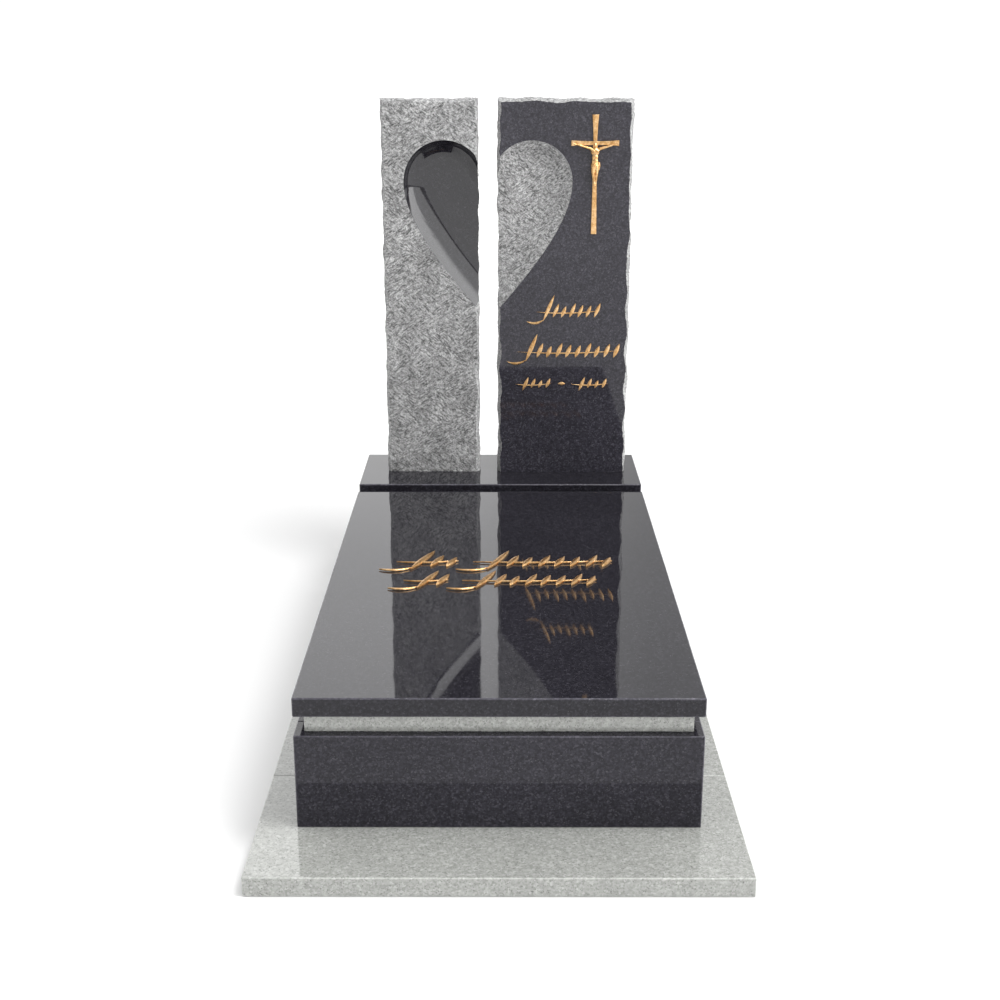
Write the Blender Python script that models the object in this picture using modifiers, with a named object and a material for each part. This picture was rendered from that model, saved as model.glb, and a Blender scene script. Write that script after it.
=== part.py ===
"""Slab-built grave monument: a kerbed grave with a lid and two steles that share a hollow heart.

Metres. X runs across the grave, -Y is its foot (the front), +Y its head, and Z is up.
The origin is on the ground, in the middle of the plinth.
"""
import math

import bmesh
import bpy
from mathutils import Matrix, Vector, noise

# Joints: thin bedding between stones, and between a stone and what is fixed to it
BED = 0.0003

# Plinth: slabs laid flat round the grave
PLINTH_THICKNESS = 0.050
PLINTH_SIDE_LEDGE = 0.100
PLINTH_FRONT_LEDGE = 0.225
PLINTH_BACK_LEDGE = 0.100
PLINTH_FRONT_DEPTH = 0.490
PLINTH_BACK_DEPTH = 0.300
PLINTH_STRIP_WIDTH = 0.200
PLINTH_ARRIS = 0.0020

# Kerb: four curbs on edge
KERB_WIDTH = 1.000
KERB_LENGTH = 2.100
KERB_HEIGHT = 0.250
KERB_THICKNESS = 0.080
KERB_ARRIS = 0.0025

# Band: light strips between the kerb and the lid
BAND_INSET = 0.025
BAND_HEIGHT = 0.050
BAND_THICKNESS = 0.080
BAND_ARRIS = 0.0010

# Lid over the grave, and the slab at the head that carries the steles
COVER_LENGTH = 1.675
COVER_THICKNESS = 0.050
COVER_JOINT = 0.035
HEAD_SLAB_THICKNESS = 0.065
SLAB_ARRIS = 0.0030

# Steles: split granite, a narrow one and a wide one, with a gap between them
STELE_HEIGHT = 1.319
STELE_THICKNESS = 0.080
STELE_SETBACK = 0.155
LEFT_STELE_WIDTH = 0.347
RIGHT_STELE_WIDTH = 0.477
STELE_GAP = 0.052
STELE_GAP_X = -0.0425
STELE_CELL = 0.024
STELE_ROWS_DEEP = 4
FLAT_ANGLE = math.radians(0.2)

# Pitched edges of a stele: how far the chisel took them back, and how that wanders
PITCH_FRONT = 0.0130
PITCH_BACK = 0.0060
PITCH_WANDER = 0.0080
PITCH_WAVE = 0.070
CHIP_DEPTH = 0.0120
CHIP_WAVE = 0.060
SPLIT_DEPTH = 0.0100
SPLIT_WAVE = 0.085
WANDER_SWING = 0.53

# Heart: one dished hollow across both steles
HEART_TOP_DROP = 0.144
HEART_HALF_WIDTH = 0.290
HEART_HEIGHT = 0.620
LOBE_RADIUS = 0.139
HOLLOW_DEPTH = 0.045
HOLLOW_RIM_SHARE = 0.26
HEART_CENTRE_SHARE = 0.58
LOBE_NOTCH_ANGLE = math.radians(20)
TIP_ANGLE = math.radians(50)
FLANK_REACH = 0.155
TIP_REACH = 0.172
LOBE_STEPS = 16
FLANK_STEPS = 14
RIM_STEPS = 6

# Crucifix: a flared bronze cross with a small figure
CROSS_HEIGHT = 0.400
CROSS_SPAN = 0.162
CROSS_THICKNESS = 0.006
CROSS_ARM_DROP = 0.094
CROSS_END_WIDTH = 0.022
CROSS_ARM_END = 0.0185
CROSS_WAIST = 0.0130
CROSS_TOP_DROP = 0.059
CROSS_EDGE_GAP = 0.138
FIGURE_HEIGHT = 0.142
FIGURE_STANDOFF = 0.0045

# Inscription: rows of slanting strokes, raised from the stone
STELE_STROKE_HEIGHT = 0.0030
COVER_STROKE_HEIGHT = 0.0090
STROKE_SLANT = 0.42
STROKE_BELLY = 0.13
STROKE_SWAY = 0.12
STROKE_RESOLUTION = 4
STROKE_DESCENT = 0.30
SWEEP_THICKNESS_SHARE = 0.6
SWEEP_WIDTH = 0.0035
SWEEP_SAG = 0.12
SWEEP_LEAD = 1.2
SWEEP_TAIL = 0.8
SWEEP_START_SHARE = 0.45
SWEEP_END_SHARE = 0.55
GROUP_GAP = 0.8
# Rows: name, strokes in each group, then in shares of the stone's width the pitch, the low and the tall stroke,
# the flourish and the row's middle; last how far it lies below the lobes in shares of the heart's height
STELE_ROWS = (
    ("stele_strokes_upper", (7,), 0.0608, 0.0964, 0.1677, 0.1342, 0.5325, 0.979),
    ("stele_strokes_middle", (10,), 0.0713, 0.1006, 0.1803, 0.1509, 0.5409, 1.211),
    ("stele_strokes_lower", (4, 1, 4), 0.0555, 0.0670, 0.0838, 0.0, 0.4927, 1.389),
)
# The same for the lid, with the row's distance from the foot last, in shares of the lid's length
COVER_ROWS = (
    ("cover_strokes_head", (3, 8), 0.0478, 0.0850, 0.1350, 0.1050, 0.515, 0.5403),
    ("cover_strokes_foot", (2, 8), 0.0446, 0.0800, 0.1150, 0.0950, 0.502, 0.4466),
)

# Finishes: base colour, roughness, metallic
DARK_GRANITE = ((0.045, 0.045, 0.050, 1.0), 0.12, 0.0)
LIGHT_GRANITE = ((0.520, 0.535, 0.510, 1.0), 0.45, 0.0)
SPLIT_GRANITE = ((0.360, 0.360, 0.360, 1.0), 0.85, 0.0)
GOLD_BRONZE = ((0.800, 0.480, 0.170, 1.0), 0.35, 1.0)

# Levels worked out from the sizes above
PLINTH_WIDTH = KERB_WIDTH + 2 * PLINTH_SIDE_LEDGE
PLINTH_LENGTH = PLINTH_FRONT_LEDGE + KERB_LENGTH + PLINTH_BACK_LEDGE
PLINTH_FRONT_Y = -PLINTH_LENGTH / 2
PLINTH_BACK_Y = PLINTH_LENGTH / 2
KERB_FRONT_Y = PLINTH_FRONT_Y + PLINTH_FRONT_LEDGE
KERB_BACK_Y = KERB_FRONT_Y + KERB_LENGTH
KERB_Z = PLINTH_THICKNESS + BED
BAND_Z = KERB_Z + KERB_HEIGHT + BED
COVER_Z = BAND_Z + BAND_HEIGHT + BED
COVER_TOP_Z = COVER_Z + COVER_THICKNESS
HEAD_SLAB_Y = KERB_FRONT_Y + COVER_LENGTH + COVER_JOINT
HEAD_SLAB_TOP_Z = COVER_Z + HEAD_SLAB_THICKNESS
STELE_Z = HEAD_SLAB_TOP_Z + BED
STELE_TOP_Z = STELE_Z + STELE_HEIGHT
STELE_FACE_Y = HEAD_SLAB_Y + STELE_SETBACK
LEFT_STELE_X = STELE_GAP_X - STELE_GAP / 2 - LEFT_STELE_WIDTH / 2
RIGHT_STELE_X = STELE_GAP_X + STELE_GAP / 2 + RIGHT_STELE_WIDTH / 2
RIGHT_STELE_EDGE_X = RIGHT_STELE_X + RIGHT_STELE_WIDTH / 2


def clear_scene():
    """Remove every object that the file opened with."""
    for item in list(bpy.data.objects):
        bpy.data.objects.remove(item, do_unlink=True)


def new_collection(name):
    collection = bpy.data.collections.new(name)
    bpy.context.scene.collection.children.link(collection)
    return collection


def give_material(item, finish):
    """Give an object a Principled material of its own, named after it."""
    colour, roughness, metallic = finish
    material = bpy.data.materials.new(item.name)
    material.use_nodes = True
    shader = material.node_tree.nodes["Principled BSDF"]
    shader.inputs["Base Color"].default_value = colour
    shader.inputs["Roughness"].default_value = roughness
    shader.inputs["Metallic"].default_value = metallic
    material.diffuse_color = colour
    item.data.materials.clear()
    item.data.materials.append(material)


def object_from_bmesh(name, bm, collection):
    bmesh.ops.recalc_face_normals(bm, faces=bm.faces[:])
    mesh = bpy.data.meshes.new(name)
    bm.to_mesh(mesh)
    bm.free()
    item = bpy.data.objects.new(name, mesh)
    collection.objects.link(item)
    return item


def box_bmesh(low, high):
    """A cube primitive stretched to reach from one corner to the other."""
    low = Vector(low)
    high = Vector(high)
    size = high - low
    bm = bmesh.new()
    bmesh.ops.create_cube(bm, size=1.0)
    bmesh.ops.scale(bm, vec=size, verts=bm.verts[:])
    bmesh.ops.translate(bm, vec=(low + high) / 2, verts=bm.verts[:])
    return bm


def add_stone(name, low, high, arris, finish, collection):
    """A sawn stone block with its arrises taken off."""
    item = object_from_bmesh(name, box_bmesh(low, high), collection)
    bevel = item.modifiers.new("arris", "BEVEL")
    bevel.width = arris
    bevel.segments = 1
    give_material(item, finish)
    return item


def add_ring(prefix, outer_low, outer_high, front, side, back, bottom, height, arris, finish, collection):
    """Four stones in a ring: front and back run across, the sides butt between them."""
    left, front_y = outer_low
    right, back_y = outer_high
    top = bottom + height
    inner_front = front_y + front
    inner_back = back_y - back
    side_front = inner_front + BED
    side_back = inner_back - BED
    stones = {
        "front": ((left, front_y, bottom), (right, inner_front, top)),
        "left": ((left, side_front, bottom), (left + side, side_back, top)),
        "right": ((right - side, side_front, bottom), (right, side_back, top)),
        "back": ((left, inner_back, bottom), (right, back_y, top)),
    }
    for place, (low, high) in stones.items():
        add_stone(f"{prefix}_{place}", low, high, arris, finish, collection)


def add_plinth(collection):
    corner_low = (-PLINTH_WIDTH / 2, PLINTH_FRONT_Y)
    corner_high = (PLINTH_WIDTH / 2, PLINTH_BACK_Y)
    add_ring("plinth", corner_low, corner_high, PLINTH_FRONT_DEPTH, PLINTH_STRIP_WIDTH, PLINTH_BACK_DEPTH,
             0.0, PLINTH_THICKNESS, PLINTH_ARRIS, LIGHT_GRANITE, collection)


def add_kerb(collection):
    corner_low = (-KERB_WIDTH / 2, KERB_FRONT_Y)
    corner_high = (KERB_WIDTH / 2, KERB_BACK_Y)
    add_ring("kerb", corner_low, corner_high, KERB_THICKNESS, KERB_THICKNESS, KERB_THICKNESS,
             KERB_Z, KERB_HEIGHT, KERB_ARRIS, DARK_GRANITE, collection)


def add_band(collection):
    corner_low = (-KERB_WIDTH / 2 + BAND_INSET, KERB_FRONT_Y + BAND_INSET)
    corner_high = (KERB_WIDTH / 2 - BAND_INSET, KERB_BACK_Y - BAND_INSET)
    add_ring("band", corner_low, corner_high, BAND_THICKNESS, BAND_THICKNESS, BAND_THICKNESS,
             BAND_Z, BAND_HEIGHT, BAND_ARRIS, LIGHT_GRANITE, collection)


def add_cover(collection):
    low = (-KERB_WIDTH / 2, KERB_FRONT_Y, COVER_Z)
    high = (KERB_WIDTH / 2, KERB_FRONT_Y + COVER_LENGTH, COVER_TOP_Z)
    add_stone("cover_slab", low, high, SLAB_ARRIS, DARK_GRANITE, collection)


def add_headstone_base(collection):
    low = (-KERB_WIDTH / 2, HEAD_SLAB_Y, COVER_Z)
    high = (KERB_WIDTH / 2, KERB_BACK_Y, HEAD_SLAB_TOP_Z)
    add_stone("headstone_base", low, high, SLAB_ARRIS, DARK_GRANITE, collection)


def slice_along(bm, axis, low, high, pieces):
    """Cut the mesh into equal slices across one axis."""
    normal = Vector((0.0, 0.0, 0.0))
    normal[axis] = 1.0
    for step in range(1, pieces):
        point = normal * (low + (high - low) * step / pieces)
        geometry = bm.verts[:] + bm.edges[:] + bm.faces[:]
        bmesh.ops.bisect_plane(bm, geom=geometry, plane_co=point, plane_no=normal)


def wander(a, b, wave, seed):
    """Smooth noise about a half, within 0 and 1, at a place on the stone."""
    return 0.5 + WANDER_SWING * noise.noise(Vector((a / wave, b / wave, seed)))


def pitched_back(depth_share, along, depth, seed):
    """How far the chisel took an edge back at one depth in the stone: most in front, least in the middle."""
    if depth_share < 0.01:
        return PITCH_FRONT + PITCH_WANDER * (2 * wander(along, 0.0, PITCH_WAVE, seed) - 1)
    chips = CHIP_DEPTH * wander(along, depth, CHIP_WAVE, seed + 7.3)
    if depth_share > 0.99:
        return PITCH_BACK + chips
    return chips


def shape_stele(bm, width, split_face, seed):
    """Pitch the sides and top of a sliced block, and roughen its face where that was split."""
    for vertex in bm.verts:
        x, y, z = vertex.co
        depth_share = y / STELE_THICKNESS
        side = math.copysign(1.0, x)
        side_pull = pitched_back(depth_share, z, y, seed + side)
        top_pull = pitched_back(depth_share, x, y, seed + 3.1)
        vertex.co.x = x - side_pull * x / (width / 2)
        vertex.co.z = z - top_pull * z / STELE_HEIGHT
        if split_face and depth_share < 0.01:
            coarse = wander(x, z, SPLIT_WAVE, seed + 11.0)
            fine = wander(x, z, CHIP_WAVE, seed + 12.0)
            vertex.co.y = SPLIT_DEPTH * (0.65 * coarse + 0.35 * fine)


def add_stele(name, centre_x, width, split_face, seed, finish, hollow, collection):
    """A split granite slab, pitched at its sides and top, with its half of the heart cut in."""
    bm = box_bmesh((-width / 2, 0.0, 0.0), (width / 2, STELE_THICKNESS, STELE_HEIGHT))
    slice_along(bm, 0, -width / 2, width / 2, round(width / STELE_CELL))
    slice_along(bm, 1, 0.0, STELE_THICKNESS, STELE_ROWS_DEEP)
    slice_along(bm, 2, 0.0, STELE_HEIGHT, round(STELE_HEIGHT / STELE_CELL))
    shape_stele(bm, width, split_face, seed)
    bmesh.ops.dissolve_limit(bm, angle_limit=FLAT_ANGLE, verts=bm.verts[:], edges=bm.edges[:])
    chipped = [face for face in bm.faces if len(face.verts) == 4]
    bmesh.ops.triangulate(bm, faces=chipped, quad_method="SHORT_EDGE")
    stele = object_from_bmesh(name, bm, collection)
    stele.location = (centre_x, STELE_FACE_Y, STELE_Z)
    cut = stele.modifiers.new("heart", "BOOLEAN")
    cut.operation = "DIFFERENCE"
    cut.solver = "EXACT"
    cut.object = hollow
    give_material(stele, finish)
    return stele


def bezier(start, first, second, end, t):
    """A point on a cubic curve."""
    s = 1.0 - t
    return start * s ** 3 + first * 3 * s * s * t + second * 3 * s * t * t + end * t ** 3


def half_heart():
    """The left half of the heart from its notch, over the lobe and down the flank, around its own centre."""
    top_z = HEART_HEIGHT * (1 - HEART_CENTRE_SHARE)
    tip_z = -HEART_HEIGHT * HEART_CENTRE_SHARE
    lobe = Vector((LOBE_RADIUS - HEART_HALF_WIDTH, top_z - LOBE_RADIUS))
    points = []
    for step in range(LOBE_STEPS + 1):
        angle = LOBE_NOTCH_ANGLE + (math.pi - LOBE_NOTCH_ANGLE) * step / LOBE_STEPS
        points.append(lobe + Vector((math.cos(angle), math.sin(angle))) * LOBE_RADIUS)
    widest = points[-1]
    tip = Vector((0.0, tip_z))
    flank_handle = widest - Vector((0.0, FLANK_REACH))
    tip_handle = tip + Vector((-math.cos(TIP_ANGLE), math.sin(TIP_ANGLE))) * TIP_REACH
    for step in range(1, FLANK_STEPS + 1):
        points.append(bezier(widest, flank_handle, tip_handle, tip, step / FLANK_STEPS))
    return points


def add_heart_hollow(cutters):
    """The dish that both steles are cut with: steep at the rim, flat in the middle."""
    left = half_heart()
    right = [Vector((-point.x, point.y)) for point in reversed(left[:-1])]
    outline = left + right
    centre = Vector((STELE_GAP_X, STELE_FACE_Y, STELE_TOP_Z - HEART_TOP_DROP - HEART_HEIGHT * (1 - HEART_CENTRE_SHARE)))
    rings = [(1.0, -STELE_THICKNESS), (1.0, 0.0)]
    for step in range(1, RIM_STEPS + 1):
        angle = math.pi / 2 * step / RIM_STEPS
        rings.append((1.0 - HOLLOW_RIM_SHARE * (1 - math.cos(angle)), HOLLOW_DEPTH * math.sin(angle)))
    bm = bmesh.new()
    loops = []
    for scale, depth in rings:
        loop = [bm.verts.new((point.x * scale, depth, point.y * scale)) for point in outline]
        loops.append(loop)
    for near, far in zip(loops, loops[1:]):
        for index in range(len(outline)):
            following = (index + 1) % len(outline)
            bm.faces.new((near[index], near[following], far[following], far[index]))
    bm.faces.new(loops[0])
    bm.faces.new(loops[-1])
    hollow = object_from_bmesh("heart_hollow", bm, cutters)
    hollow.location = centre
    mark_as_cutter(hollow)
    return hollow


def mark_as_cutter(item):
    item.hide_render = True
    item.display_type = "WIRE"


def new_outline_curve(name, thickness, collection):
    """A flat filled curve of the given thickness, standing upright with its face to -Y."""
    curve = bpy.data.curves.new(name, "CURVE")
    curve.dimensions = "2D"
    curve.fill_mode = "BOTH"
    curve.extrude = thickness / 2
    curve.resolution_u = STROKE_RESOLUTION
    item = bpy.data.objects.new(name, curve)
    collection.objects.link(item)
    return item


def mesh_from_curve(item, matrix, finish, collection):
    """Turn a finished curve into a mesh object of the same name, placed by the matrix."""
    bpy.context.view_layer.update()
    name = item.name
    evaluated = item.evaluated_get(bpy.context.evaluated_depsgraph_get())
    mesh = bpy.data.meshes.new_from_object(evaluated)
    bm = bmesh.new()
    bm.from_mesh(mesh)
    bmesh.ops.remove_doubles(bm, verts=bm.verts[:], dist=0.00001)
    bmesh.ops.recalc_face_normals(bm, faces=bm.faces[:])
    bm.to_mesh(mesh)
    bm.free()
    bpy.data.objects.remove(item, do_unlink=True)
    solid = bpy.data.objects.new(name, mesh)
    solid.matrix_world = matrix
    collection.objects.link(solid)
    give_material(solid, finish)
    return solid


def add_lens(curve, start, end, belly_left, belly_right):
    """A closed stroke with pointed ends; a negative belly bends that side inwards to a crescent."""
    start = Vector((*start, 0.0))
    end = Vector((*end, 0.0))
    along = (end - start) / 3
    left = Vector((-along.y, along.x, 0.0)).normalized()
    spline = curve.splines.new("BEZIER")
    spline.bezier_points.add(1)
    spline.use_cyclic_u = True
    first, last = spline.bezier_points
    for point in (first, last):
        point.handle_left_type = "FREE"
        point.handle_right_type = "FREE"
    first.co = start
    first.handle_right = start + along + left * belly_left * 4 / 3
    first.handle_left = start + along - left * belly_right * 4 / 3
    last.co = end
    last.handle_left = end - along + left * belly_left * 4 / 3
    last.handle_right = end - along - left * belly_right * 4 / 3


def add_stroke_group(name, count, row, place, collection, cutters):
    """Slanting strokes threaded on one long thin sweep; the first is tall, and a flourish may run into its foot."""
    pitch, low_height, tall_height, flourish, thickness = row
    belly = STROKE_BELLY * pitch
    strokes = new_outline_curve(name + "_strokes", thickness, cutters)
    descent = STROKE_DESCENT * low_height
    add_lens(strokes.data, (-STROKE_SLANT * descent, -descent), (STROKE_SLANT * tall_height, tall_height), belly, belly)
    for index in range(1, count):
        foot_x = index * pitch
        height = low_height * (1.0 + STROKE_SWAY * math.sin(2.4 * index))
        add_lens(strokes.data, (foot_x, 0.0), (foot_x + STROKE_SLANT * height, height), belly, belly)
    operand = mesh_from_curve(strokes, place, GOLD_BRONZE, cutters)
    mark_as_cutter(operand)
    sweep = new_outline_curve(name, thickness * SWEEP_THICKNESS_SHARE, collection)
    sag = SWEEP_SAG * low_height
    sweep_start = (-SWEEP_LEAD * pitch, SWEEP_START_SHARE * low_height)
    sweep_end = ((count - 1 + SWEEP_TAIL) * pitch, SWEEP_END_SHARE * low_height)
    add_lens(sweep.data, sweep_start, sweep_end, -sag, sag + SWEEP_WIDTH)
    if flourish > 0:
        flourish_end = (-STROKE_SLANT * descent / 2, -descent / 2)
        add_lens(sweep.data, (-flourish, -descent), flourish_end, -sag, sag + 2 * SWEEP_WIDTH)
    solid = mesh_from_curve(sweep, place, GOLD_BRONZE, collection)
    join = solid.modifiers.new("strokes", "BOOLEAN")
    join.operation = "UNION"
    join.solver = "EXACT"
    join.object = operand


def add_dash(name, row, place, collection):
    """A short level stroke between two groups."""
    pitch, low_height, _, _, thickness = row
    dash = new_outline_curve(name, thickness, collection)
    add_lens(dash.data, (0.0, low_height / 2), (pitch, low_height / 2), STROKE_BELLY * pitch, STROKE_BELLY * pitch)
    mesh_from_curve(dash, place, GOLD_BRONZE, collection)


def add_stroke_row(name, groups, row, place, collection, cutters):
    """One row of stroke groups, centred on its place; a group of one is a dash."""
    pitch = row[0]
    lengths = [pitch if count == 1 else (SWEEP_LEAD + count - 1 + SWEEP_TAIL) * pitch for count in groups]
    x = -(sum(lengths) + GROUP_GAP * pitch * (len(groups) - 1)) / 2
    for number, (count, length) in enumerate(zip(groups, lengths), start=1):
        if count == 1:
            add_dash(f"{name}_{number}", row, place @ Matrix.Translation((x, 0.0, 0.0)), collection)
        else:
            group_place = place @ Matrix.Translation((x + SWEEP_LEAD * pitch, 0.0, 0.0))
            add_stroke_group(f"{name}_{number}", count, row, group_place, collection, cutters)
        x += length + GROUP_GAP * pitch


def upright(x, y, z):
    """Place a flat outline on a face that looks to -Y."""
    return Matrix.Translation((x, y, z)) @ Matrix.Rotation(math.pi / 2, 4, "X")


def stroke_sizes(shares, stone_width, thickness):
    """A row's pitch, low stroke, tall stroke, flourish and thickness in metres."""
    return (*[share * stone_width for share in shares], thickness)


def add_inscription(collection, cutters):
    stele_y = STELE_FACE_Y - BED - STELE_STROKE_HEIGHT / 2
    for name, groups, *shares, across, below in STELE_ROWS:
        x = RIGHT_STELE_X + (across - 0.5) * RIGHT_STELE_WIDTH
        place = upright(x, stele_y, STELE_TOP_Z - HEART_TOP_DROP - below * HEART_HEIGHT)
        row = stroke_sizes(shares, RIGHT_STELE_WIDTH, STELE_STROKE_HEIGHT)
        add_stroke_row(name, groups, row, place, collection, cutters)
    cover_z = COVER_TOP_Z + BED + COVER_STROKE_HEIGHT / 2
    for name, groups, *shares, across, from_foot in COVER_ROWS:
        x = (across - 0.5) * KERB_WIDTH
        place = Matrix.Translation((x, KERB_FRONT_Y + from_foot * COVER_LENGTH, cover_z))
        row = stroke_sizes(shares, KERB_WIDTH, COVER_STROKE_HEIGHT)
        add_stroke_row(name, groups, row, place, collection, cutters)


def cross_outline():
    """Half outline of the cross to the right of its axis, from the top down, around the crossing."""
    top = CROSS_ARM_DROP
    bottom = CROSS_ARM_DROP - CROSS_HEIGHT
    end = CROSS_END_WIDTH / 2
    waist = CROSS_WAIST / 2
    arm = CROSS_ARM_END / 2
    return [(end, top), (waist, waist), (CROSS_SPAN / 2, arm), (CROSS_SPAN / 2, -arm), (waist, -waist), (end, bottom)]


def add_cross(place, collection):
    item = new_outline_curve("crucifix", CROSS_THICKNESS, collection)
    right = cross_outline()
    left = [(-x, z) for x, z in reversed(right)]
    outline = right + left
    spline = item.data.splines.new("POLY")
    spline.points.add(len(outline) - 1)
    for point, (x, z) in zip(spline.points, outline):
        point.co = (x, z, 0.0, 1.0)
    spline.use_cyclic_u = True
    return mesh_from_curve(item, place, GOLD_BRONZE, collection)


def add_figure(place, cutters):
    """A small calm figure in low detail: a limb tree with a thickness at each joint."""
    size = FIGURE_HEIGHT
    hand_x = 0.44 * CROSS_SPAN
    joints = {
        "crown": ((0.00, 0.00), 0.030),
        "head": ((0.00, -0.065), 0.050),
        "neck": ((0.00, -0.120), 0.028),
        "chest": ((0.00, -0.200), 0.082),
        "waist": ((0.01, -0.360), 0.066),
        "hips": ((0.01, -0.470), 0.085),
        "cloth": ((0.00, -0.600), 0.080),
        "knees": ((0.02, -0.760), 0.052),
        "ankles": ((0.00, -0.930), 0.036),
        "toes": ((0.00, -1.000), 0.030),
    }
    names = list(joints)
    points = [(x * size, z * size, radius * size) for (x, z), radius in joints.values()]
    links = [(names.index(a), names.index(b)) for a, b in zip(names, names[1:])]
    chest = names.index("chest")
    for side in (-1, 1):
        shoulder = len(points)
        points.append((side * 0.105 * size, -0.165 * size, 0.036 * size))
        points.append((side * 0.55 * hand_x, -0.095 * size, 0.026 * size))
        points.append((side * hand_x, -0.020 * size, 0.020 * size))
        links += [(chest, shoulder), (shoulder, shoulder + 1), (shoulder + 1, shoulder + 2)]
    mesh = bpy.data.meshes.new("figure")
    mesh.from_pydata([(x, 0.0, z) for x, z, _ in points], links, [])
    figure = bpy.data.objects.new("figure", mesh)
    cutters.objects.link(figure)
    figure.matrix_world = place
    figure.modifiers.new("body", "SKIN")
    for index, (_, _, radius) in enumerate(points):
        mesh.skin_vertices[0].data[index].radius = (radius, radius)
    mesh.skin_vertices[0].data[chest].use_root = True
    smooth = figure.modifiers.new("smooth", "SUBSURF")
    smooth.levels = 1
    smooth.render_levels = 1
    mark_as_cutter(figure)
    return figure


def add_crucifix(collection, cutters):
    x = RIGHT_STELE_EDGE_X - CROSS_EDGE_GAP
    y = STELE_FACE_Y - BED - CROSS_THICKNESS / 2
    crossing_z = STELE_TOP_Z - CROSS_TOP_DROP - CROSS_ARM_DROP
    crucifix = add_cross(upright(x, y, crossing_z), collection)
    figure_y = STELE_FACE_Y - BED - CROSS_THICKNESS - FIGURE_STANDOFF
    figure = add_figure(Matrix.Translation((x, figure_y, crossing_z)), cutters)
    join = crucifix.modifiers.new("figure", "BOOLEAN")
    join.operation = "UNION"
    join.solver = "EXACT"
    join.object = figure


def build():
    clear_scene()
    collection = new_collection("heart_headstone")
    cutters = new_collection("cutters")
    add_plinth(collection)
    add_kerb(collection)
    add_band(collection)
    add_cover(collection)
    add_headstone_base(collection)
    hollow = add_heart_hollow(cutters)
    add_stele("left_stele", LEFT_STELE_X, LEFT_STELE_WIDTH, True, 1.7, SPLIT_GRANITE, hollow, collection)
    add_stele("right_stele", RIGHT_STELE_X, RIGHT_STELE_WIDTH, False, 5.2, DARK_GRANITE, hollow, collection)
    add_inscription(collection, cutters)
    add_crucifix(collection, cutters)


build()
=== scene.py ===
import math

import bmesh
import bpy
import numpy as np
from mathutils import Matrix, Vector, noise


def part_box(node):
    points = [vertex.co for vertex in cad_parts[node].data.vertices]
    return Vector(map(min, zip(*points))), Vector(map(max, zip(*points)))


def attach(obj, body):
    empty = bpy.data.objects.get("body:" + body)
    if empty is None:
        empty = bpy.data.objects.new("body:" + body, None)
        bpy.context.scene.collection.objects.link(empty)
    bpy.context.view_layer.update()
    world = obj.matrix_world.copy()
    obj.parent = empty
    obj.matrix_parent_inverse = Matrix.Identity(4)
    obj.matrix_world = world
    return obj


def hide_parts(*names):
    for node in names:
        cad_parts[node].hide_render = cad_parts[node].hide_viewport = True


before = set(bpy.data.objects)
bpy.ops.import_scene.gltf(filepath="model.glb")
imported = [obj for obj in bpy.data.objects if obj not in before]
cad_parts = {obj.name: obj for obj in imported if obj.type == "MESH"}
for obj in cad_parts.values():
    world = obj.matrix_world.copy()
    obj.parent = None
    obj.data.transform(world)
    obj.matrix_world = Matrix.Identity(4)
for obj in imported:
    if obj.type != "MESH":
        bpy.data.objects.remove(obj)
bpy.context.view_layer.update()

# Plinth: four slabs of light granite laid flat on the ground as a ring round the grave, 5 cm thick. They are sawn
# and polished with eased arrises, and the strips butt against the front and back slabs on a mortar bed.
PLINTH_ARRIS = 0.0025
ARRIS_STEP = 0.030
ARRIS_ROUNDS = 3
ARRIS_WEAR = 0.0005
WEAR_PER_METRE = 14.0
WEAR_EVERYWHERE = 0.15
NEAR_ARRIS = 0.9
GRAIN_EDGE_WAVES = 0.7
GRAIN_EDGE_BEND = 0.8
FELDSPAR_SIZE = 0.0050
MICA_SIZE = 0.0024
LIGHT_GRANITE_IOR = 1.62


def knot(finish, kind, **plugs):
    """One node of a finish. A socket among the plugs is linked, a value is set, and an attribute is kept."""
    made = finish.node_tree.nodes.new(kind)
    for name, plug in plugs.items():
        socket = made.inputs.get(name.replace("_", " "))
        if socket is None:
            setattr(made, name, plug)
        elif isinstance(plug, bpy.types.NodeSocket):
            finish.node_tree.links.new(plug, socket)
        else:
            socket.default_value = plug
    return made.outputs[0]


def shades(finish, by, stops, steps=False):
    """A colour ramp; each stop is a place from 0 to 1 and a grey or a colour."""
    ramp = finish.node_tree.nodes.new("ShaderNodeValToRGB")
    ramp.color_ramp.interpolation = "CONSTANT" if steps else "LINEAR"
    while len(ramp.color_ramp.elements) < len(stops):
        ramp.color_ramp.elements.new(0.5)
    for stop, (place, shade) in zip(ramp.color_ramp.elements, stops):
        stop.position = place
        colour = shade if isinstance(shade, tuple) else (shade, shade, shade)
        stop.color = (*colour, 1.0)
    finish.node_tree.links.new(by, ramp.inputs[0])
    return ramp.outputs[0]


def blank_finish(name):
    """A material with its shader and the stone's own coordinates."""
    finish = bpy.data.materials.new(name)
    finish.use_nodes = True
    place = finish.node_tree.nodes.new("ShaderNodeTexCoord").outputs["Object"]
    return finish, finish.node_tree.nodes["Principled BSDF"], place


def crystals(finish, place, size, stops):
    """Grains of about the given size, each of one shade picked from the stops."""
    edge = knot(finish, "ShaderNodeTexNoise", Vector=place, Scale=GRAIN_EDGE_WAVES / size, Detail=2.0)
    shift = knot(finish, "ShaderNodeVectorMath", operation="SCALE", Vector=edge, Scale=size * GRAIN_EDGE_BEND)
    bent = finish.node_tree.nodes.new("ShaderNodeVectorMath")
    finish.node_tree.links.new(place, bent.inputs[0])
    finish.node_tree.links.new(shift, bent.inputs[1])
    grains = finish.node_tree.nodes.new("ShaderNodeTexVoronoi")
    grains.inputs["Scale"].default_value = 1.0 / size
    finish.node_tree.links.new(bent.outputs[0], grains.inputs["Vector"])
    split = knot(finish, "ShaderNodeSeparateColor", Color=grains.outputs["Color"])
    return shades(finish, split, stops, steps=True)


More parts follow.
